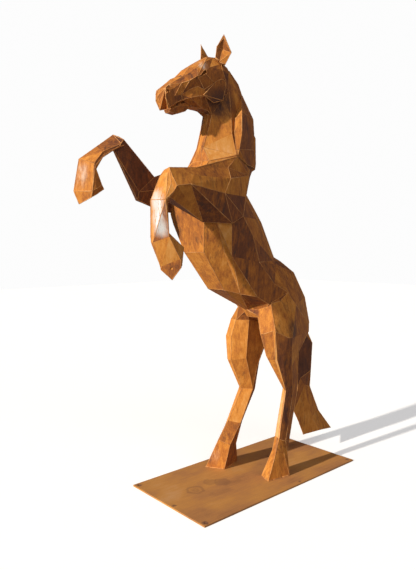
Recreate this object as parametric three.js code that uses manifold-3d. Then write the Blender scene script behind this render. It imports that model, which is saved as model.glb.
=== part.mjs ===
import * as THREE from "three";
import { mergeVertices } from "three/addons/utils/BufferGeometryUtils.js";
import Module from "manifold-3d";

const wasm = await Module();
wasm.setup();

// A rearing horse welded from flat steel sheet, on its rectangular base plate.
// Millimetres. +X is where the horse faces, +Y its left, +Z up.
// The origin is the middle of the plate's underside.

// Base plate
const PLATE_LENGTH = 1500;
const PLATE_WIDTH = 750;
const PLATE_THICKNESS = 10;
const BOLT_HOLE_DIAMETER = 14;
const BOLT_HOLE_INSET = 28;
const BOLT_HOLE_SIDES = 24;

// Horse
const HORSE_HEIGHT = 2970;
const SOLE_CLEARANCE = 0.3;
const PLUG_HOLE_DIAMETER = 18;
const PLUG_HOLE_DEPTH = 5;
const PLUG_HOLE_SIDES = 16;

// The horse's corners are in thousandths of its own height, measured from its soles.
const THOUSANDTH = HORSE_HEIGHT / 1000;
const GROUND = PLATE_THICKNESS + SOLE_CLEARANCE;

// Corners closer than this are one corner.
const WELD_DISTANCE = 1e-3;

// Trunk from the tail forward, left half of each ring: spine, upper, side, ridge, lower, keel.
const TRUNK = [
  [[-230, 0, 347], [-212, 12, 337], [-140, 20, 355], [-110, 20, 355], [-77, 17, 360], [-54, 7, 364]],
  [[-211, 0, 415], [-100, 61, 406], [-80, 55, 398], [-42, 48, 388], [-15, 32, 380], [-7, 8, 380]],
  [[-165, 0, 482], [-68, 60, 441], [-38, 58, 417], [-6, 58, 415], [12, 17, 411], [7, 4, 398]],
  [[-112, 0, 512], [-67, 27, 505], [-24, 60, 461], [35, 61, 434], [72, 44, 442], [106, 27, 452]],
  [[-88, 0, 522], [-58, 25, 514], [28, 61, 513], [120, 67, 527], [132, 57, 535], [170, 33, 536]],
  [[-43, 0, 606], [9, 37, 597], [57, 69, 571], [130, 78, 592], [162, 69, 595], [185, 52, 598]],
  [[-18, 0, 638], [0, 25, 612], [92, 75, 612], [130, 80, 616], [152, 76, 620], [190, 56, 621]],
  [[8, 0, 669], [42, 30, 655], [64, 52, 652], [110, 68, 653], [152, 66, 657], [193, 51, 651]],
  [[-5, 0, 718], [34, 22, 704], [52, 44, 710], [100, 58, 711], [145, 54, 711], [185, 33, 708]],
];

// Neck from the chest up, left half: crest, upper, side, front side, throat.
const NECK = [
  [[4, 0, 697], [26, 20, 690], [60, 44, 690], [114, 54, 690], [188, 31, 690]],
  [[-10, 0, 725], [40, 31, 733], [84, 47, 746], [154, 33, 730], [158, 16, 732]],
  [[-12, 0, 758], [44, 29, 753], [85, 47, 748], [151, 11, 762], [153, 5, 760]],
  [[-5, 0, 827], [40, 21, 817], [95, 42, 793], [136, 14, 807], [138, 6, 807]],
  [[12, 0, 877], [46, 19, 870], [88, 32, 843], [128, 15, 840], [132, 6, 836]],
  [[34, 0, 919], [52, 12, 906], [88, 27, 887], [116, 15, 876], [130, 7, 865]],
  [[63, 0, 944], [74, 10, 934], [92, 22, 905], [114, 15, 901], [126, 7, 899]],
];

// Mane from the top down, left half: crest, outer edge, front edge, root.
const MANE = [
  [[21, 0, 896], [31, 8, 890], [36, 11, 888], [32, 8, 886]],
  [[-15, 0, 848], [72, 50, 842], [83, 40, 827], [51, 20, 838]],
  [[-18, 0, 815], [76, 54, 794], [88, 43, 796], [60, 24, 805]],
  [[-18, 0, 777], [82, 52, 760], [88, 48, 759], [51, 20, 754]],
  [[-20, 0, 735], [40, 34, 733], [82, 48, 745], [40, 20, 737]],
];

// The sheet that stands proud behind the crest on the far side: its outer, then its inner face.
const CREST_SHEET = [
  [[-20, -3, 814], [-27, -4, 806], [-28, -4, 745], [-25, -4, 732], [-14, -4, 726], [-8, -3, 800]],
  [[-12, -14, 812], [-18, -14, 804], [-18, -14, 746], [-16, -14, 736], [-6, -14, 730], [0, -14, 798]],
];

// Head from the nose back, left half: top, brow, cheekbone, cheek, lip or jaw, underside.
const HEAD = [
  [[251, 11, 869], [252, 12, 863], [253, 13, 857], [249, 13, 844], [247, 14, 829], [234, 8, 833]],
  [[239, 12, 881], [254, 16, 868], [255, 17, 860], [255, 17, 847], [243, 16, 831], [227, 9, 837]],
  [[226, 5, 894], [245, 15, 875], [237, 19, 868], [233, 19, 854], [230, 18, 841], [217, 9, 847]],
  [[204, 4, 905], [213, 18, 897], [220, 25, 881], [217, 20, 859], [215, 20, 849], [199, 10, 852]],
  [[190, 13, 921], [197, 22, 907], [203, 31, 888], [197, 24, 873], [198, 26, 855], [182, 11, 843]],
  [[165, 13, 938], [179, 26, 921], [187, 36, 899], [180, 28, 881], [174, 29, 863], [153, 12, 843]],
  [[140, 13, 954], [159, 26, 935], [164, 36, 908], [162, 29, 878], [161, 30, 863], [139, 13, 841]],
  [[123, 13, 956], [148, 30, 926], [149, 34, 909], [139, 34, 895], [134, 28, 868], [126, 13, 832]],
  [[112, 10, 959], [109, 24, 943], [111, 30, 929], [104, 31, 911], [106, 27, 877], [106, 13, 848]],
  [[73, 4, 947], [78, 13, 939], [84, 20, 928], [88, 24, 913], [88, 24, 881], [85, 13, 856]],
];

// Left jowl plate, its proud outer face and its inner face.
const JOWL = [
  [
    [170, 35, 864], [135, 36, 899], [117, 36, 907], [106, 35, 903],
    [107, 34, 886], [112, 32, 863], [138, 30, 854],
  ],
  [
    [148, 20, 873], [124, 20, 899], [108, 20, 906], [100, 20, 902],
    [103, 20, 886], [112, 20, 867], [130, 20, 862],
  ],
];

// Cuts on the left of the head, each a deep inner and a wide outer outline.
const EYE_CUT = [
  [[160, 22, 918], [160, 22, 911], [182, 24, 897], [172, 22, 908]],
  [[161, 50, 922], [160, 50, 910], [186, 50, 895], [174, 50, 908]],
];
const NOSTRIL_CUT = [
  [[250, 9, 864], [246, 9, 863], [247, 9, 859], [252, 9, 854]],
  [[252, 30, 866], [243, 30, 864], [247, 30, 858], [256, 30, 851]],
];

// Chin from the lip back, left half: inner edge, outer edge, underside.
const CHIN = [
  [[240, 8, 830], [239, 10, 829], [237, 8, 824]],
  [[232, 8, 835], [235, 13, 829], [220, 8, 823]],
  [[217, 9, 846], [219, 13, 838], [198, 9, 831]],
  [[194, 9, 858], [197, 16, 850], [186, 10, 843]],
];

// Left ear from its root up: inner edge, fold, outer edge, back.
const EAR = [
  [[127, 25, 952], [118, 28, 945], [107, 34, 939], [101, 19, 939]],
  [[124, 26, 975], [109, 28, 972], [96, 42, 965], [96, 27, 966]],
  [[115, 36, 997], [113, 37, 994], [112, 38, 996], [114, 38, 1000]],
];

// Right foreleg, reaching up and forward, from the shoulder to the toe.
// Each ring: top inner, top outer, outer, low outer, low inner, inner.
const RIGHT_FORELEG = [
  [[110, -30, 720], [110, -64, 716], [110, -70, 660], [130, -64, 625], [140, -34, 616], [140, -27, 663]],
  [[200, -64, 710], [190, -90, 700], [190, -95, 660], [202, -89, 633], [215, -61, 627], [226, -51, 671]],
  [[227, -64, 700], [219, -93, 700], [240, -98, 668], [256, -94, 650], [276, -57, 647], [274, -54, 664]],
  [[303, -65, 771], [299, -90, 781], [304, -98, 760], [312, -94, 752], [328, -64, 746], [303, -63, 759]],
  [[312, -61, 761], [306, -102, 786], [312, -98, 764], [321, -89, 748], [336, -59, 743], [317, -59, 754]],
  [[355, -61, 740], [353, -90, 754], [342, -92, 744], [337, -84, 739], [358, -57, 727], [356, -59, 732]],
  [[378, -56, 714], [392, -93, 725], [374, -95, 706], [362, -88, 702], [375, -54, 702], [377, -54, 708]],
  [[386, -51, 658], [405, -93, 660], [376, -94, 662], [355, -82, 664], [364, -51, 671], [378, -50, 663]],
  [[386, -55, 646], [397, -86, 634], [376, -90, 646], [354, -80, 661], [358, -54, 664], [374, -54, 653]],
];

// Left foreleg, knee forward and hoof hanging, from the shoulder to the toe.
// Each ring: upper outer, outer, lower outer, underside, inner, top inner, top.
const LEFT_FORELEG = [
  [
    [38, 38, 708], [61, 53, 678], [71, 60, 657], [97, 79, 613],
    [84, 30, 630], [84, 17, 670], [24, 26, 724],
  ],
  [
    [132, 69, 714], [140, 86, 689], [166, 96, 656], [134, 84, 596],
    [145, 34, 606], [128, 27, 670], [87, 51, 744],
  ],
  [
    [227, 77, 704], [241, 88, 687], [256, 96, 668], [192, 57, 598],
    [192, 40, 616], [189, 37, 673], [202, 51, 705],
  ],
  [
    [295, 79, 698], [292, 87, 679], [288, 94, 663], [290, 77, 641],
    [270, 45, 635], [276, 43, 675], [296, 64, 694],
  ],
  [
    [297, 78, 689], [296, 87, 668], [293, 92, 653], [296, 76, 638],
    [290, 45, 630], [300, 46, 663], [303, 60, 683],
  ],
  [
    [317, 78, 636], [312, 89, 636], [310, 89, 635], [294, 72, 635],
    [310, 48, 635], [320, 52, 636], [322, 57, 637],
  ],
  [
    [322, 61, 556], [303, 88, 566], [302, 87, 568], [294, 75, 574],
    [304, 44, 572], [318, 48, 567], [323, 57, 555],
  ],
  [
    [303, 62, 510], [278, 90, 524], [276, 89, 526], [256, 73, 546],
    [282, 40, 539], [299, 47, 522], [304, 60, 509],
  ],
  [
    [285, 72, 483], [275, 88, 507], [273, 88, 511], [259, 71, 518],
    [270, 41, 521], [286, 47, 512], [303, 60, 503],
  ],
];

// Left hind leg from the hip to the sole.
// Each ring: front, front outer, outer, rear outer, outer rear, rear, far rear, inner.
const LEFT_HIND = [
  [
    [11, 4, 399], [-10, 20, 428], [-27, 37, 440], [-47, 40, 446],
    [-67, 37, 446], [-91, 37, 431], [-145, 13, 421], [-67, 3, 418],
  ],
  [
    [0, 29, 384], [4, 37, 385], [-12, 60, 416], [-40, 64, 420],
    [-71, 61, 438], [-98, 64, 407], [-192, 29, 345], [-67, 3, 374],
  ],
  [
    [11, 48, 346], [9, 56, 346], [0, 78, 355], [-1, 84, 354],
    [-40, 90, 336], [-56, 89, 334], [-188, 32, 330], [-84, 10, 333],
  ],
  [
    [-6, 51, 292], [-7, 57, 284], [-14, 71, 285], [-18, 75, 283],
    [-34, 79, 278], [-65, 79, 264], [-117, 57, 287], [-81, 31, 306],
  ],
  [
    [-54, 61, 210], [-52, 66, 209], [-51, 69, 207], [-53, 71, 205],
    [-59, 72, 203], [-77, 73, 199], [-101, 65, 194], [-79, 46, 212],
  ],
  [
    [-42, 47, 92], [-38, 56, 92], [-37, 61, 91], [-38, 64, 89],
    [-46, 66, 85], [-58, 67, 80], [-79, 60, 76], [-64, 45, 82],
  ],
  [
    [-29, 50, 61], [-26, 58, 61], [-23, 64, 61], [-20, 69, 60],
    [-28, 71, 59], [-45, 73, 55], [-58, 72, 54], [-64, 48, 66],
  ],
  [
    [-6, 36, 0], [-2, 48, 0], [3, 59, 0], [7, 70, 0],
    [-7, 72, 0], [-34, 77, 0], [-56, 81, 0], [-65, 44, 0],
  ],
];

// Right hind leg from the hip to the sole.
// Each ring: front inner, front, front outer, outer, rear outer, rear, inner.
const RIGHT_HIND = [
  [
    [-7, -3, 418], [-7, -20, 420], [-30, -38, 428], [-50, -46, 436],
    [-88, -46, 428], [-145, -17, 418], [-67, -3, 418],
  ],
  [
    [-2, -11, 396], [9, -25, 408], [-14, -47, 404], [-40, -60, 412],
    [-88, -62, 401], [-148, -20, 364], [-67, -6, 374],
  ],
  [
    [-18, -17, 370], [3, -41, 370], [0, -62, 370], [-14, -72, 372],
    [-80, -76, 370], [-141, -27, 354], [-74, -9, 360],
  ],
  [
    [-18, -22, 320], [10, -51, 327], [9, -71, 327], [-16, -86, 332],
    [-67, -82, 333], [-118, -37, 333], [-68, -15, 300],
  ],
  [
    [-20, -29, 273], [7, -55, 268], [6, -69, 269], [-22, -80, 290],
    [-64, -74, 288], [-94, -47, 288], [-55, -28, 240],
  ],
  [
    [-51, -36, 190], [-30, -54, 191], [-31, -62, 190], [-40, -70, 198],
    [-54, -72, 200], [-67, -62, 200], [-60, -38, 188],
  ],
  [
    [-10, -40, 109], [14, -59, 116], [17, -66, 104], [-2, -73, 108],
    [-17, -76, 108], [-36, -64, 108], [-19, -43, 112],
  ],
  [[27, -38, 63], [45, -60, 74], [44, -65, 70], [12, -78, 70], [-1, -81, 70], [-18, -67, 70], [-2, -47, 58]],
  [[36, -50, 0], [55, -83, 0], [60, -92, 0], [38, -98, 0], [3, -99, 0], [-20, -86, 0], [-25, -67, 0]],
];

// Tail from the root down: front outer, front, far, rear, rear outer.
const TAIL = [
  [[-149, 13, 368], [-190, 3, 367], [-190, -13, 363], [-169, -16, 357], [-145, 0, 357]],
  [[-174, 6, 261], [-238, 5, 290], [-232, -16, 299], [-204, -18, 290], [-187, 2, 290]],
  [[-183, 10, 204], [-227, 9, 218], [-225, -19, 212], [-205, -21, 198], [-168, 11, 175]],
  [[-207, 4, 180], [-237, -2, 171], [-234, -21, 173], [-212, -24, 166], [-156, 10, 121]],
  [[-230, 10, 90], [-281, -6, 95], [-281, -22, 99], [-269, -24, 88], [-172, 12, 92]],
  [[-264, 14, 48], [-331, 0, 36], [-337, -13, 32], [-302, -20, 32], [-188, 16, 53]],
];

// A corner in thousandths of the height, as a point in millimetres.
function point([x, y, z]) {
  return [x * THOUSANDTH, y * THOUSANDTH, GROUND + z * THOUSANDTH];
}

// A left half ring and its mirror image, as one whole ring.
function whole(half) {
  const right = half.filter(([, y]) => y > 0).map(([x, y, z]) => [x, -y, z]);
  return [...half, ...right.reverse()];
}

// The right-hand twin of a list of rings.
function mirrored(rings) {
  return rings.map((ring) => ring.map(([x, y, z]) => [x, -y, z]));
}

// Six times the signed volume between the origin and a triangle.
function wedge(a, b, c) {
  return (
    a[0] * (b[1] * c[2] - b[2] * c[1]) -
    a[1] * (b[0] * c[2] - b[2] * c[0]) +
    a[2] * (b[0] * c[1] - b[1] * c[0])
  );
}

// A closed geometry as a solid, with shared corners merged.
function solid(geometry) {
  geometry.deleteAttribute("normal");
  geometry.deleteAttribute("uv");
  const merged = mergeVertices(geometry, WELD_DISTANCE);
  return new wasm.Manifold(
    new wasm.Mesh({
      numProp: 3,
      vertProperties: merged.attributes.position.array,
      triVerts: new Uint32Array(merged.index.array),
    }),
  );
}

// A faceted solid through rings of corners, its ends closed flat.
// A twisted panel is folded along the diagonal that keeps it proud.
function loft(rings) {
  const placed = rings.map((ring) => ring.map(point));
  const first = placed[0];
  const last = placed.at(-1);
  const panels = [];
  for (let i = 0; i + 1 < placed.length; i++) {
    for (let j = 0; j < first.length; j++) {
      const k = (j + 1) % first.length;
      panels.push([placed[i][j], placed[i][k], placed[i + 1][k], placed[i + 1][j]]);
    }
  }
  const volume = panels.reduce((sum, [a, b, c, d]) => sum + wedge(a, b, c) + wedge(a, c, d), 0);
  const triangles = [];
  for (const [a, b, c, d] of panels) {
    const one = wedge(a, b, c) + wedge(a, c, d);
    const other = wedge(a, b, d) + wedge(b, c, d);
    const proud = volume > 0 ? one > other : one < other;
    if (proud) triangles.push([a, b, c], [a, c, d]);
    else triangles.push([a, b, d], [b, c, d]);
  }
  for (let j = 1; j + 1 < first.length; j++) {
    triangles.push([first[0], first[j + 1], first[j]]);
    triangles.push([last[0], last[j], last[j + 1]]);
  }
  const total = triangles.reduce((sum, [a, b, c]) => sum + wedge(a, b, c), 0);
  const outward = total > 0 ? triangles : triangles.map(([a, b, c]) => [a, c, b]);
  const positions = new THREE.BufferAttribute(new Float32Array(outward.flat(2)), 3);
  return solid(new THREE.BufferGeometry().setAttribute("position", positions));
}

// A cylinder that cuts a shallow round hole in the middle of a flat facet, square to it.
function plugHole(corners) {
  const [a, b, c] = corners.map((corner) => new THREE.Vector3(...point(corner)));
  const facet = new THREE.Triangle(a, b, c);
  const normal = facet.getNormal(new THREE.Vector3());
  const radius = PLUG_HOLE_DIAMETER / 2;
  const geometry = new THREE.CylinderGeometry(radius, radius, 2 * PLUG_HOLE_DEPTH, PLUG_HOLE_SIDES);
  const turn = new THREE.Quaternion().setFromUnitVectors(new THREE.Vector3(0, 1, 0), normal);
  const middle = facet.getMidpoint(new THREE.Vector3());
  geometry.applyQuaternion(turn);
  geometry.translate(middle.x, middle.y, middle.z);
  return solid(geometry);
}

function union(parts) {
  return parts.reduce((sum, part) => sum.add(part));
}

// The whole horse: its sheets are welded into one closed skin, so it is one solid.
function makeHorse() {
  const body = union([
    loft(TRUNK.map(whole)),
    loft(NECK.map(whole)),
    loft(MANE.map(whole)),
    loft(CREST_SHEET),
    loft(HEAD.map(whole)),
    loft(JOWL),
    loft(mirrored(JOWL)),
    loft(CHIN.map(whole)),
    loft(EAR),
    loft(mirrored(EAR)),
    loft(RIGHT_FORELEG),
    loft(LEFT_FORELEG),
    loft(LEFT_HIND),
    loft(RIGHT_HIND),
    loft(TAIL),
  ]);
  const [coronet, toe] = LEFT_FORELEG.slice(-2);
  const cuts = [
    loft(EYE_CUT),
    loft(mirrored(EYE_CUT)),
    loft(NOSTRIL_CUT),
    loft(mirrored(NOSTRIL_CUT)),
    plugHole([coronet[0], coronet[1], toe[0]]),
  ];
  return cuts.reduce((rest, cut) => rest.subtract(cut), body);
}

// The base plate with a bolt hole near each corner.
function makePlate() {
  const outline = new THREE.Shape();
  outline.moveTo(-PLATE_LENGTH / 2, -PLATE_WIDTH / 2);
  outline.lineTo(PLATE_LENGTH / 2, -PLATE_WIDTH / 2);
  outline.lineTo(PLATE_LENGTH / 2, PLATE_WIDTH / 2);
  outline.lineTo(-PLATE_LENGTH / 2, PLATE_WIDTH / 2);
  outline.closePath();
  for (const endwise of [-1, 1]) {
    for (const sideways of [-1, 1]) {
      const x = endwise * (PLATE_LENGTH / 2 - BOLT_HOLE_INSET);
      const y = sideways * (PLATE_WIDTH / 2 - BOLT_HOLE_INSET);
      const hole = new THREE.Path();
      hole.absarc(x, y, BOLT_HOLE_DIAMETER / 2, 0, 2 * Math.PI);
      outline.holes.push(hole);
    }
  }
  return solid(
    new THREE.ExtrudeGeometry(outline, {
      depth: PLATE_THICKNESS,
      bevelEnabled: false,
      curveSegments: BOLT_HOLE_SIDES / 2,
    }),
  );
}

// A solid as a named mesh.
function mesh(name, made, material) {
  const data = made.getMesh();
  const geometry = new THREE.BufferGeometry();
  geometry.setAttribute("position", new THREE.BufferAttribute(data.vertProperties, 3));
  geometry.setIndex(new THREE.BufferAttribute(data.triVerts, 1));
  geometry.computeVertexNormals();
  const out = new THREE.Mesh(geometry, material);
  out.name = name;
  return out;
}

const rust = new THREE.MeshStandardMaterial({ color: 0x9c5a26, roughness: 0.85, metalness: 0.2 });
rust.name = "rusted_steel";
const plateRust = new THREE.MeshStandardMaterial({ color: 0xa8672c, roughness: 0.9, metalness: 0.2 });
plateRust.name = "rusted_plate";

const group = new THREE.Group();
group.name = "steel_horse_sculpture";
group.add(mesh("horse", makeHorse(), rust));
group.add(mesh("base_plate", makePlate(), plateRust));

export default group;
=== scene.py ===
import math
import random

import bmesh
import bpy
from mathutils import Matrix, Vector, noise
from mathutils.kdtree import KDTree


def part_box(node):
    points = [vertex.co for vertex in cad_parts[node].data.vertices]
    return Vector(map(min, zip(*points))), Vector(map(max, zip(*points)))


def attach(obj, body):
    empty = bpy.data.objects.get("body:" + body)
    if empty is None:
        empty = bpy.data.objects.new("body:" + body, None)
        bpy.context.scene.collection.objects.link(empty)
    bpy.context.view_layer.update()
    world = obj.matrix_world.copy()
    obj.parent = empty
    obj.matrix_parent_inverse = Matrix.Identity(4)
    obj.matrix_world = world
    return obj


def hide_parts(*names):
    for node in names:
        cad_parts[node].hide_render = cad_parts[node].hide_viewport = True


# A rearing horse welded from flat sheets of rusted steel, on its base plate.
# Metres. +X is where the horse faces, +Y its left, +Z up.

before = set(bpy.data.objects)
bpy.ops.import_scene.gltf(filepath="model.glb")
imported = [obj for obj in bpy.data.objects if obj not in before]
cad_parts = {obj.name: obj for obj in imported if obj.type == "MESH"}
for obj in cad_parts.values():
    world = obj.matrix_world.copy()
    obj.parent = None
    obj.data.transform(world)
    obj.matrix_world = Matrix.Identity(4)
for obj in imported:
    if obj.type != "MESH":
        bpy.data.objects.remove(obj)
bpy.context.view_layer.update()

SEED = 11
random.seed(SEED)

# Camera, at eye height in front and to the left of the horse
CAMERA_PLACE = (2.7423, 2.6923, 1.6170)
CAMERA_YAW = math.radians(-131.2)
CAMERA_PITCH = math.radians(-3.7)
CAMERA_ROLL = math.radians(-0.32)
CAMERA_LENS = 34.17
CAMERA_SENSOR = 36

# Light: a soft far key straight ahead of the horse, a weak broad fill at its left and a pale room
KEY_ELEVATION = math.radians(20.5)
KEY_AZIMUTH = math.radians(-4)
KEY_SPREAD = math.radians(1.5)
KEY_POWER = 5.2
KEY_COLOUR = (1.0, 0.94, 0.84)
FILL_ELEVATION = math.radians(24)
FILL_AZIMUTH = math.radians(66)
FILL_SPREAD = math.radians(70)
FILL_POWER = 1.0
FILL_COLOUR = (1.0, 0.93, 0.84)
ROOM_WHITE = (0.98, 0.98, 0.98)
ROOM_FILL = (0.15, 0.15, 0.165)

# Floor
FLOOR_SIZE = 40.0
FLOOR_DROP = 0.0005
FLOOR_PAINT = (0.85, 0.85, 0.85)
FLOOR_LIFT = 0.42
FLOOR_ROUGHNESS = 0.95

# Sheet steel
PLATE_BEND = math.radians(8)      # a softer fold than this lies within one plate
FOLD_BEND = math.radians(3)       # a sharper fold than this shows as a crisp line
WELD_BEND = math.radians(13)      # a sharper fold than this carries a weld bead
MESH_EDGE = 0.06                  # a longer edge than this is split
REFINE_PASSES = 3
MERGE_DISTANCE = 1e-5             # corners closer than this are one corner
BUCKLE = 0.0016                   # how far a sheet waves off flat
BUCKLE_SCALE = 5.0
BUCKLE_MARGIN = 0.05              # the sheet is flat at its welds
BEAD_RADIUS = 0.0024
BEAD_STEP = 0.014
BEAD_SIDES = 6
BEAD_SINK = 0.55                  # share of its radius that a bead lies under the seam
BEAD_RIPPLE = 0.16                # share of its radius that a bead swells and shrinks
BEAD_RIPPLE_TURN = 2.4            # turn of the ripple from one ring of a bead to the next
BEAD_WOBBLE = 0.08
SOLE_LEVEL = 0.012                # an edge lower than this is a sole's
SOLE_BEAD_RADIUS = 0.005
GRAIN_TILT = math.radians(9)      # how far a sheet's grain leans off upright
GRAIN_SHIFT = 9                   # how far one sheet's pattern is moved from another's

# Tone of a plate that has none of its own: lowest and highest
TONE_RANGE = (0.34, 0.58)
TONE_MIDDLE = 0.5
TONE_SPREAD = 0.2                 # how much of its chance tone a plate with its own tone keeps

# Plates with a tone of their own: a place on them, how far it reaches, and the tone; many tones are
# painted light and shade
TONE_AND_PAINTED_LIGHT_SPOTS = (
    # painted shade: the band behind the elbow darkened where shade falls under the upper arm
    ((0.22, 0.21, 1.74), 0.16, 0.31),    # band behind the elbow
    # painted shade: the right foreleg darkened where it faces away from the key light
    ((0.70, -0.27, 2.05), 0.16, 0.24),   # right upper arm
    ((0.80, -0.25, 2.18), 0.20, 0.22),   # right forearm
    ((0.62, -0.24, 1.95), 0.14, 0.26),   # right elbow
    # upper tail darkened: dark rust and painted shadow
    ((-0.62, 0.00, 0.75), 0.16, 0.16),   # tail, upper
    ((-0.58, 0.03, 0.45), 0.14, 0.42),   # tail, middle
    # painted light: the lower tail lightened as if the key light fell on it
    ((-0.66, 0.02, 0.25), 0.14, 0.62),   # tail, lower
    # painted shadow: the head's shadow on the neck behind the jowl
    ((0.30, 0.06, 2.68), 0.10, 0.30),    # behind the jowl
    ((0.36, 0.10, 2.62), 0.07, 0.40),    # jowl
    ((0.12, 0.16, 1.62), 0.14, 0.33),    # upper flank
    ((0.05, 0.15, 1.50), 0.15, 0.38),    # flank
    ((-0.22, 0.12, 1.25), 0.12, 0.32),   # rump
    ((0.20, 0.20, 1.45), 0.12, 0.48),    # lower flank
    # painted light: the belly plates lightened as if the key light fell full on them
    ((0.45, 0.22, 1.69), 0.12, 0.70),    # belly behind the elbow
    ((0.55, 0.17, 1.72), 0.10, 0.70),    # front of the belly
    ((0.36, 0.17, 1.45), 0.12, 0.66),    # low belly
    ((0.42, 0.10, 1.36), 0.12, 0.68),    # low belly, front
    ((0.36, 0.12, 2.27), 0.12, 0.74),    # ochre plate at the neck's foot
    ((0.33, 0.09, 2.42), 0.12, 0.54),    # neck's side
    ((0.20, 0.10, 2.45), 0.10, 0.60),    # mane
    ((0.84, 0.24, 2.02), 0.12, 0.66),    # bent knee
    ((0.70, 0.25, 2.05), 0.14, 0.56),    # upper arm
    # painted shade: plates under the near upper arm darkened where shade falls
    ((0.60, 0.20, 1.90), 0.10, 0.28),    # under the upper arm
    ((0.42, 0.24, 1.92), 0.12, 0.28),    # elbow
    ((0.86, 0.24, 1.60), 0.09, 0.62),    # hanging hoof
    ((0.02, 0.20, 1.10), 0.10, 0.54),    # front of the left thigh
    # painted shade: the inner front of the left thigh darkened as if under the belly's shadow
    ((0.07, 0.14, 1.05), 0.10, 0.46),    # inner front of the left thigh
    ((-0.10, 0.24, 1.05), 0.12, 0.58),   # left thigh
    # painted light: the left gaskin and cannon lightened as if lit by the key
    ((-0.12, 0.22, 0.90), 0.12, 0.78),   # left gaskin
    ((-0.15, 0.20, 0.45), 0.14, 0.92),   # left cannon
    # painted light: the right thigh, gaskin and cannon lightened as if lit by the key
    ((0.00, -0.17, 1.00), 0.14, 0.66),   # right thigh
    ((0.00, -0.18, 0.80), 0.12, 0.62),   # right gaskin
    ((-0.02, -0.18, 0.45), 0.14, 0.64),  # right cannon
)

# Painted shadow of the head on the upper neck and a darker patch on the thigh, bare steel rubbed through
# on the hanging cannon, and a milky bloom elsewhere: a place and its reach
PAINTED_SHADOW_AND_DARK_SPOTS = (
    # painted shadow of the head on the upper neck
    ((0.33, 0.06, 2.56), (0.16, 0.14, 0.13)),
    ((0.42, 0.05, 2.58), (0.10, 0.12, 0.09)),
    # darker on the thigh
    ((-0.20, 0.25, 1.05), (0.08, 0.10, 0.10)),
)
SPOT_GAIN = 1.6                   # a spot is full well before its middle
BARE_SPOTS = (
    ((0.948, 0.215, 1.88), (0.035, 0.055, 0.08)),
    ((0.940, 0.215, 1.80), (0.035, 0.055, 0.10)),
    ((0.930, 0.225, 1.74), (0.045, 0.060, 0.06)),
)
MILKY_SPOTS = (
    ((1.135, -0.25, 2.06), (0.07, 0.06, 0.10)),
    ((0.49, 0.08, 2.765), (0.04, 0.03, 0.04)),
    ((0.95, 0.19, 1.93), (0.05, 0.06, 0.06)),
    ((0.06, -0.25, 0.12), (0.12, 0.10, 0.12)),
)


def link(obj):
    bpy.context.scene.collection.objects.link(obj)
    return obj


# Node trees

def add(tree, kind, values=None, **settings):
    """A shader node with its settings and its inputs, each a value or another node's output."""
    made = tree.nodes.new(kind)
    for key, value in settings.items():
        setattr(made, key, value)
    for key, value in (values or {}).items():
        socket = made.inputs[key]
        if isinstance(value, bpy.types.NodeSocket):
            tree.links.new(value, socket)
        else:
            socket.default_value = value
    return made


def maths(tree, operation, a, b, clamp=False):
    return add(tree, "ShaderNodeMath", {0: a, 1: b}, operation=operation, use_clamp=clamp).outputs[0]


def ramp(tree, factor, stops):
    """A colour ramp from (place, colour) pairs."""
    made = add(tree, "ShaderNodeValToRGB", {"Fac": factor})
    elements = made.color_ramp.elements
    while len(elements) < len(stops):
        elements.new(0.5)
    for element, (place, colour) in zip(elements, stops):
        element.position = place
        element.color = (*colour, 1)
    return made.outputs["Color"]


def swing(tree, pattern, strength):
    """A 0 to 1 pattern as a swing of this strength about nought."""
    centred = maths(tree, "SUBTRACT", pattern, PATTERN_MIDDLE)
    return maths(tree, "MULTIPLY", centred, strength)


def level(tree, value, low, high):
    """How far a value is between two levels, from 0 to 1."""
    inputs = {"Value": value, "From Min": low, "From Max": high}
    return add(tree, "ShaderNodeMapRange", inputs).outputs["Result"]


def blend(tree, factor, under, over):
    """An under colour, a node's output, mixed with a plain over colour by a node's output."""
    made = add(tree, "ShaderNodeMix", {0: factor, 6: under, 7: (*over, 1)}, data_type="RGBA")
    return made.outputs[2]


def cloud(tree, vector, scale, stretch, detail, roughness):
    """Noise over the sheet, drawn out along its grain by stretch."""
    placed = add(tree, "ShaderNodeMapping", {"Vector": vector, "Scale": stretch}).outputs[0]
    return add(
        tree,
        "ShaderNodeTexNoise",
        {"Vector": placed, "Scale": scale, "Detail": detail, "Roughness": roughness},
    ).outputs["Fac"]


def attribute(tree, name, output):
    return add(tree, "ShaderNodeAttribute", attribute_name=name).outputs[output]


# Rust colours, dark to light
PATTERN_MIDDLE = 0.5
RUST_STOPS = (
    (0.0, (0.040, 0.014, 0.008)),
    (0.26, (0.150, 0.046, 0.016)),
    (0.46, (0.360, 0.118, 0.020)),
    (0.62, (0.540, 0.205, 0.030)),
    (0.80, (0.620, 0.290, 0.075)),
    (1.0, (0.700, 0.400, 0.190)),
)
BEAD_STOPS = (
    (0.30, (0.220, 0.080, 0.022)),
    (0.50, (0.460, 0.185, 0.045)),
    (0.68, (0.640, 0.320, 0.110)),
)
PLATE_STOPS = (
    (0.20, (0.240, 0.105, 0.040)),
    (0.42, (0.420, 0.185, 0.062)),
    (0.56, (0.520, 0.235, 0.058)),
    (0.78, (0.560, 0.300, 0.130)),
)
# colour of the dark runs, and of the painted shadow on the upper neck
STREAK_AND_PAINTED_SHADOW = (0.060, 0.024, 0.016)
STAIN = (0.150, 0.070, 0.040)

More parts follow.
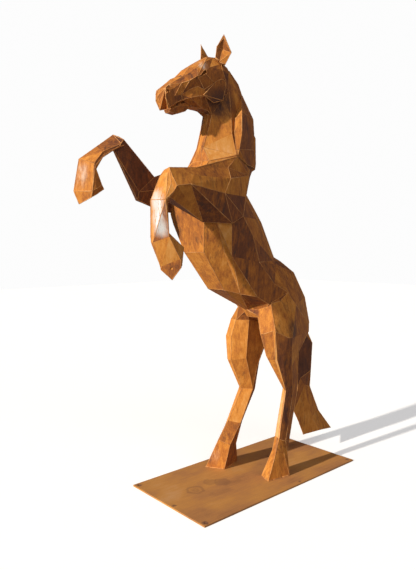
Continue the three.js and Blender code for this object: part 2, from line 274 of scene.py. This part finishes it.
# Dark stains on the base plate: centre, inner and outer radius, strength
PLATE_STAINS = (
    ((0.484, -0.030, 0.010), 0.035, 0.055, 0.32),
    ((0.484, -0.030, 0.010), 0.000, 0.020, 0.25),
    ((0.264, -0.001, 0.010), -0.05, 0.050, 0.34),
    ((0.330, -0.060, 0.010), -0.05, 0.040, 0.28),
    ((-0.144, 0.351, 0.010), -0.05, 0.004, 0.90),
    ((0.726, 0.048, 0.010), -0.05, 0.006, 0.80),
    ((0.722, 0.347, 0.010), -0.05, 0.010, 0.85),
    ((0.722, -0.347, 0.010), -0.05, 0.010, 0.85),
    ((-0.722, 0.347, 0.010), -0.05, 0.010, 0.85),
    ((-0.722, -0.347, 0.010), -0.05, 0.010, 0.85),
)
STAIN_RAGGED = 0.06
STAIN_EDGE = 0.012
BARE_STEEL = (0.47, 0.455, 0.44)
MILKY = (0.58, 0.46, 0.38)

# Patterns in the rust: scale, stretch, detail and roughness
EVEN = (1, 1, 1)
SHEET_MOTTLE = (7.0, (1, 1, 0.7), 7.0, 0.72)
SHEET_RUNS = (1.0, (30, 30, 7), 5.0, 0.75)
SHEET_FINE_RUNS = (1.0, (75, 75, 20), 4.0, 0.7)
SHEET_SPECK = (260.0, EVEN, 2.0, 0.5)
DARK_RUNS = (1.0, (28, 28, 5.0), 7.0, 0.78)
DARK_RUN_GROUPS = (4.0, EVEN, 4.0, 0.6)
BEAD_MOTTLE = (9.0, EVEN, 4.0, 0.6)
PLATE_CLOUDS = (2.2, (1, 1.6, 1), 4.0, 0.55)
PLATE_ROLLING = (1.0, (4, 60, 4), 3.0, 0.6)
PLATE_SPECK = (240.0, EVEN, 2.0, 0.5)
PLATE_BLOTCH = (22.0, EVEN, 5.0, 0.7)

# How strongly each pattern shows
MOTTLE_SWING = 0.80
RUNS_SWING = 0.48
FINE_RUNS_SWING = 0.40
SPECK_SWING = 0.2
PLATE_CLOUDS_SHARE = 0.95
PLATE_LINES_SWING = 0.22

# Levels between which a mark comes in
DARK_RUN_LEVELS = (0.51, 0.60)
DARK_RUN_GROUP_LEVELS = (0.44, 0.56)
DARK_RUN_TONES = (0.85, 0.25)
MILKY_LEVELS = (0.40, 0.58)
DARK_LEVELS = (0.90, 0.50)
BARE_LEVELS = (0.36, 0.50)

# How the surfaces take light
RUST_ROUGHNESS = 0.82
BARE_ROUGHNESS = 0.42
BARE_METALLIC = 0.55
BEAD_ROUGHNESS = 0.8
PLATE_ROUGHNESS = 0.85
RUST_SPECULAR = 0.3
SHEET_BUMP = {"Strength": 0.25, "Distance": 0.0015}
PLATE_BUMP = {"Strength": 0.2, "Distance": 0.001}


def start(name):
    made = bpy.data.materials.new(name)
    made.use_nodes = True
    tree = made.node_tree
    tree.nodes.clear()
    shader = add(tree, "ShaderNodeBsdfPrincipled")
    out = add(tree, "ShaderNodeOutputMaterial")
    tree.links.new(shader.outputs[0], out.inputs[0])
    return made, tree, shader


def sheet_rust():
    """Rust on the welded sheets: tone by plate, partly painted light and shade, mottling, upright runs,
    painted shadow on the upper neck, a darker patch on the thigh, and rubbed or bare patches.
    """
    made, tree, shader = start("sheet_rust")
    grain = attribute(tree, "grain", "Vector")
    # plate tone: the chance tone of each plate, with painted light and painted shade from the tone spots
    tone = attribute(tree, "tone", "Fac")
    mottle = cloud(tree, grain, *SHEET_MOTTLE)
    runs = cloud(tree, grain, *SHEET_RUNS)
    fine_runs = cloud(tree, grain, *SHEET_FINE_RUNS)
    speck = cloud(tree, grain, *SHEET_SPECK)
    total = tone
    for pattern, strength in (
        (mottle, MOTTLE_SWING),
        (runs, RUNS_SWING),
        (fine_runs, FINE_RUNS_SWING),
        (speck, SPECK_SWING),
    ):
        total = maths(tree, "ADD", total, swing(tree, pattern, strength))
    rust = ramp(tree, total, RUST_STOPS)
    dark_runs = level(tree, cloud(tree, grain, *DARK_RUNS), *DARK_RUN_LEVELS)
    groups = level(tree, cloud(tree, grain, *DARK_RUN_GROUPS), *DARK_RUN_GROUP_LEVELS)
    mask = maths(tree, "MULTIPLY", dark_runs, groups)
    mask = maths(tree, "MULTIPLY", mask, level(tree, tone, *DARK_RUN_TONES))
    rust = blend(tree, mask, rust, STREAK_AND_PAINTED_SHADOW)
    milky = maths(tree, "MULTIPLY", attribute(tree, "milky", "Fac"), level(tree, runs, *MILKY_LEVELS))
    rust = blend(tree, milky, rust, MILKY)
    # painted shadow of the head on the upper neck, and a darker patch on the thigh
    dark = maths(tree, "MULTIPLY", attribute(tree, "dark", "Fac"), level(tree, total, *DARK_LEVELS))
    rust = blend(tree, dark, rust, STREAK_AND_PAINTED_SHADOW)
    bare = maths(tree, "MULTIPLY", attribute(tree, "bare", "Fac"), level(tree, runs, *BARE_LEVELS), True)
    tree.links.new(blend(tree, bare, rust, BARE_STEEL), shader.inputs["Base Color"])
    ends = {"Value": bare, "To Min": RUST_ROUGHNESS, "To Max": BARE_ROUGHNESS}
    roughness = add(tree, "ShaderNodeMapRange", ends).outputs[0]
    tree.links.new(roughness, shader.inputs["Roughness"])
    tree.links.new(maths(tree, "MULTIPLY", bare, BARE_METALLIC), shader.inputs["Metallic"])
    shader.inputs["Specular IOR Level"].default_value = RUST_SPECULAR
    height = maths(tree, "ADD", speck, mottle)
    bump = add(tree, "ShaderNodeBump", {"Height": height, **SHEET_BUMP})
    tree.links.new(bump.outputs[0], shader.inputs["Normal"])
    return made


def bead_rust():
    """Rust on the weld beads, a little brighter than the sheets."""
    made, tree, shader = start("bead_rust")
    place = add(tree, "ShaderNodeTexCoord").outputs["Object"]
    mottle = cloud(tree, place, *BEAD_MOTTLE)
    tree.links.new(ramp(tree, mottle, BEAD_STOPS), shader.inputs["Base Color"])
    shader.inputs["Roughness"].default_value = BEAD_ROUGHNESS
    return made


def plate_rust():
    """Even rust on the base plate, with broad clouds, faint rolling lines and dark stains."""
    made, tree, shader = start("plate_rust")
    place = add(tree, "ShaderNodeTexCoord").outputs["Object"]
    broad = cloud(tree, place, *PLATE_CLOUDS)
    rolling = cloud(tree, place, *PLATE_ROLLING)
    speck = cloud(tree, place, *PLATE_SPECK)
    total = maths(tree, "MULTIPLY", broad, PLATE_CLOUDS_SHARE)
    for pattern in (rolling, speck):
        total = maths(tree, "ADD", total, swing(tree, pattern, PLATE_LINES_SWING))
    rust = ramp(tree, total, PLATE_STOPS)
    blotch = cloud(tree, place, *PLATE_BLOTCH)
    for centre, inner, outer, strength in PLATE_STAINS:
        gap = add(tree, "ShaderNodeVectorMath", {0: place, 1: centre}, operation="DISTANCE")
        ragged = maths(tree, "ADD", gap.outputs["Value"], swing(tree, blotch, STAIN_RAGGED))
        past_inner = level(tree, ragged, inner, inner + STAIN_EDGE)
        within_outer = level(tree, ragged, outer + STAIN_EDGE, outer)
        ring = maths(tree, "MULTIPLY", past_inner, within_outer)
        rust = blend(tree, maths(tree, "MULTIPLY", ring, strength), rust, STAIN)
    tree.links.new(rust, shader.inputs["Base Color"])
    shader.inputs["Roughness"].default_value = PLATE_ROUGHNESS
    shader.inputs["Specular IOR Level"].default_value = RUST_SPECULAR
    bump = add(tree, "ShaderNodeBump", {"Height": speck, **PLATE_BUMP})
    tree.links.new(bump.outputs[0], shader.inputs["Normal"])
    return made


# The welded sheets

def find(parent, i):
    while parent[i] != i:
        parent[i] = parent[parent[i]]
        i = parent[i]
    return i


def plates_of(bm):
    """The plate number of each face: faces that meet at less than PLATE_BEND share one."""
    parent = list(range(len(bm.faces)))
    for edge in bm.edges:
        if len(edge.link_faces) == 2 and edge.calc_face_angle(math.pi) < PLATE_BEND:
            a, b = (find(parent, f.index) for f in edge.link_faces)
            parent[b] = a
    roots = [find(parent, i) for i in range(len(parent))]
    order = {root: n for n, root in enumerate(sorted(set(roots)))}
    return [order[root] for root in roots]


def refine(bm):
    """Splits long edges a few times over, so that the sheet can take a gentle wave."""
    for _ in range(REFINE_PASSES):
        long = [e for e in bm.edges if e.calc_length() > MESH_EDGE]
        bmesh.ops.subdivide_edges(bm, edges=long, cuts=1)
        bmesh.ops.triangulate(bm, faces=[f for f in bm.faces if len(f.verts) > 3])


def horse_sheets():
    """A finer copy of the horse: plates with waved sheet between straight welds."""
    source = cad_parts["horse"].data
    bm = bmesh.new()
    bm.from_mesh(source)
    bmesh.ops.remove_doubles(bm, verts=bm.verts, dist=MERGE_DISTANCE)
    bm.faces.ensure_lookup_table()
    bm.faces.index_update()
    plate = bm.faces.layers.int.new("plate")
    for face, number in zip(bm.faces, plates_of(bm)):
        face[plate] = number
    seams = []
    for edge in bm.edges:
        a, b = edge.link_faces
        bend = edge.calc_face_angle()
        edge.smooth = bend < FOLD_BEND
        if bend > WELD_BEND:
            one, two = (vert.co.copy() for vert in edge.verts)
            seams.append((one, two, (a.normal + b.normal).normalized()))
    refine(bm)
    tree = KDTree(sum(1 for e in bm.edges if not e.smooth) * 3)
    n = 0
    for edge in bm.edges:
        if not edge.smooth:
            for t in (0, 0.5, 1):
                tree.insert(edge.verts[0].co.lerp(edge.verts[1].co, t), n)
                n += 1
    tree.balance()
    bm.normal_update()
    moves = []
    for vert in bm.verts:
        away = tree.find(vert.co)[2]
        share = min(1.0, away / BUCKLE_MARGIN)
        moves.append(vert.normal * BUCKLE * share * noise.noise(vert.co * BUCKLE_SCALE))
    for vert, move in zip(bm.verts, moves):
        vert.co += move
    for face in bm.faces:
        face.smooth = True
    mesh = bpy.data.meshes.new("horse_sheets")
    bm.to_mesh(mesh)
    numbers = [f[plate] for f in bm.faces]
    bm.free()
    return link(bpy.data.objects.new("horse_sheets", mesh)), numbers, seams


def plate_middles(mesh, numbers):
    """The middle of each plate, its faces weighed by their area."""
    sums = [Vector((0, 0, 0)) for _ in range(max(numbers) + 1)]
    areas = [0.0] * len(sums)
    for polygon in mesh.polygons:
        number = numbers[polygon.index]
        sums[number] += polygon.center * polygon.area
        areas[number] += polygon.area
    return [total / max(area, 1e-9) for total, area in zip(sums, areas)]


def tone_with_painted_light_at(middle):
    """The tone of the plate with this middle: a chance tone, or a spot's tone, which is often painted
    light or painted shade.
    """
    tone = random.uniform(*TONE_RANGE)
    near = [((middle - Vector(place)).length / reach, own) for place, reach, own in TONE_AND_PAINTED_LIGHT_SPOTS]
    away, own = min(near)
    return own + TONE_SPREAD * (tone - TONE_MIDDLE) if away < 1 else tone


def spot_strength(place, spots):
    """How strongly any of the spots marks a place: full in a spot's middle, none past its reach."""
    best = 0.0
    for centre, reach in spots:
        away = math.sqrt(sum(((p - c) / r) ** 2 for p, c, r in zip(place, centre, reach)))
        best = max(best, SPOT_GAIN * (1 - away))
    return min(1.0, best)


def paint(obj, numbers):
    """Each plate's own tone, partly painted light and shade, and grain, the painted shadow on the upper
    neck and darker patch on the thigh, and the rubbed patches, as attributes for the material.
    """
    mesh = obj.data
    count = max(numbers) + 1
    tones_with_painted_light = [tone_with_painted_light_at(middle) for middle in plate_middles(mesh, numbers)]
    turns = [
        Matrix.Rotation(random.uniform(-GRAIN_TILT, GRAIN_TILT), 3, "X")
        @ Matrix.Rotation(random.uniform(-GRAIN_TILT, GRAIN_TILT), 3, "Y")
        for _ in range(count)
    ]
    shifts = [Vector(random.uniform(-GRAIN_SHIFT, GRAIN_SHIFT) for _ in range(3)) for _ in range(count)]
    tone = mesh.attributes.new("tone", "FLOAT", "FACE")
    grain = mesh.attributes.new("grain", "FLOAT_VECTOR", "CORNER")
    dark = mesh.attributes.new("dark", "FLOAT", "POINT")
    bare = mesh.attributes.new("bare", "FLOAT", "POINT")
    milky = mesh.attributes.new("milky", "FLOAT", "POINT")
    for vertex in mesh.vertices:
        # painted shadow on the upper neck, and a darker patch on the thigh
        dark.data[vertex.index].value = spot_strength(vertex.co, PAINTED_SHADOW_AND_DARK_SPOTS)
        bare.data[vertex.index].value = spot_strength(vertex.co, BARE_SPOTS)
        milky.data[vertex.index].value = spot_strength(vertex.co, MILKY_SPOTS)
    for polygon in mesh.polygons:
        number = numbers[polygon.index]
        tone.data[polygon.index].value = tones_with_painted_light[number]
        for corner in polygon.loop_indices:
            spot = mesh.vertices[mesh.loops[corner].vertex_index].co
            grain.data[corner].vector = turns[number] @ spot + shifts[number]


def weld_beads(seams):
    """A low rippled bead along every seam, and a fatter one where a sole meets the base plate."""
    bm = bmesh.new()
    for a, b, out in seams:
        sole = max(a.z, b.z) < SOLE_LEVEL
        size = SOLE_BEAD_RADIUS if sole else BEAD_RADIUS
        along = b - a
        length = along.length
        if length < BEAD_STEP:
            continue
        along.normalize()
        side = along.cross(out).normalized()
        out = side.cross(along)
        steps = max(2, int(length / BEAD_STEP))
        rings = []
        for i in range(steps + 1):
            centre = a.lerp(b, i / steps) - out * size * BEAD_SINK
            ripple = BEAD_RIPPLE * math.sin(i * BEAD_RIPPLE_TURN)
            radius = size * (1 + ripple + random.uniform(-BEAD_WOBBLE, BEAD_WOBBLE))
            ring = []
            for k in range(BEAD_SIDES):
                turn = 2 * math.pi * k / BEAD_SIDES
                ring.append(bm.verts.new(centre + radius * (math.cos(turn) * out + math.sin(turn) * side)))
            rings.append(ring)
        for one, two in zip(rings, rings[1:]):
            for k in range(BEAD_SIDES):
                m = (k + 1) % BEAD_SIDES
                bm.faces.new((one[k], one[m], two[m], two[k]))
        bm.faces.new(rings[0][::-1])
        bm.faces.new(rings[-1])
    bmesh.ops.recalc_face_normals(bm, faces=bm.faces)
    low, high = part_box("horse")
    for vert in bm.verts:
        vert.co = Vector(min(max(c, l), h) for c, l, h in zip(vert.co, low, high))
    for face in bm.faces:
        face.smooth = True
    mesh = bpy.data.meshes.new("weld_beads")
    bm.to_mesh(mesh)
    bm.free()
    return link(bpy.data.objects.new("weld_beads", mesh))


sheets, plate_numbers, seams = horse_sheets()
paint(sheets, plate_numbers)
sheets.data.materials.append(sheet_rust())
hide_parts("horse")
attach(sheets, "root")

beads = weld_beads(seams)
beads.data.materials.append(bead_rust())
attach(beads, "root")

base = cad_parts["base_plate"]
base.data.materials.clear()
base.data.materials.append(plate_rust())


# Floor, light and camera

def floor():
    mesh = bpy.data.meshes.new("floor")
    h = FLOOR_SIZE / 2
    mesh.from_pydata([(-h, -h, 0), (h, -h, 0), (h, h, 0), (-h, h, 0)], [], [(0, 1, 2, 3)])
    made = link(bpy.data.objects.new("floor", mesh))
    made.location.z = -FLOOR_DROP
    made.visible_diffuse = False
    coat, _, shader = start("floor_paint")
    shader.inputs["Base Color"].default_value = (*FLOOR_PAINT, 1)
    shader.inputs["Roughness"].default_value = FLOOR_ROUGHNESS
    shader.inputs["Emission Color"].default_value = (*FLOOR_PAINT, 1)
    shader.inputs["Emission Strength"].default_value = FLOOR_LIFT
    mesh.materials.append(coat)


def heading(azimuth, elevation):
    """The unit vector at an azimuth and an elevation."""
    flat = math.cos(elevation)
    return Vector((math.cos(azimuth) * flat, math.sin(azimuth) * flat, math.sin(elevation)))


def far_light(name, azimuth, elevation, spread, power, colour):
    data = bpy.data.lights.new(name, "SUN")
    data.energy = power
    data.angle = spread
    data.color = colour
    made = link(bpy.data.objects.new(name, data))
    made.rotation_euler = (-heading(azimuth, elevation)).to_track_quat("-Z", "Y").to_euler()


def lights():
    far_light("key", KEY_AZIMUTH, KEY_ELEVATION, KEY_SPREAD, KEY_POWER, KEY_COLOUR)
    far_light("fill", FILL_AZIMUTH, FILL_ELEVATION, FILL_SPREAD, FILL_POWER, FILL_COLOUR)
    world = bpy.data.worlds.new("room")
    bpy.context.scene.world = world
    world.use_nodes = True
    tree = world.node_tree
    tree.nodes.clear()
    seen = add(tree, "ShaderNodeBackground", {"Color": (*ROOM_WHITE, 1)})
    fill = add(tree, "ShaderNodeBackground", {"Color": (*ROOM_FILL, 1)})
    path = add(tree, "ShaderNodeLightPath")
    mix = add(tree, "ShaderNodeMixShader", {
        0: path.outputs["Is Camera Ray"],
        1: fill.outputs[0],
        2: seen.outputs[0],
    })
    out = add(tree, "ShaderNodeOutputWorld")
    tree.links.new(mix.outputs[0], out.inputs[0])


def camera():
    data = bpy.data.cameras.new("camera")
    data.lens = CAMERA_LENS
    data.sensor_width = CAMERA_SENSOR
    made = link(bpy.data.objects.new("camera", data))
    turned = heading(CAMERA_YAW, CAMERA_PITCH).to_track_quat("-Z", "Y").to_matrix().to_4x4()
    made.matrix_world = Matrix.Translation(CAMERA_PLACE) @ turned @ Matrix.Rotation(CAMERA_ROLL, 4, "Z")
    bpy.context.scene.camera = made


floor()
lights()
camera()
bpy.context.scene.view_settings.view_transform = "Standard"
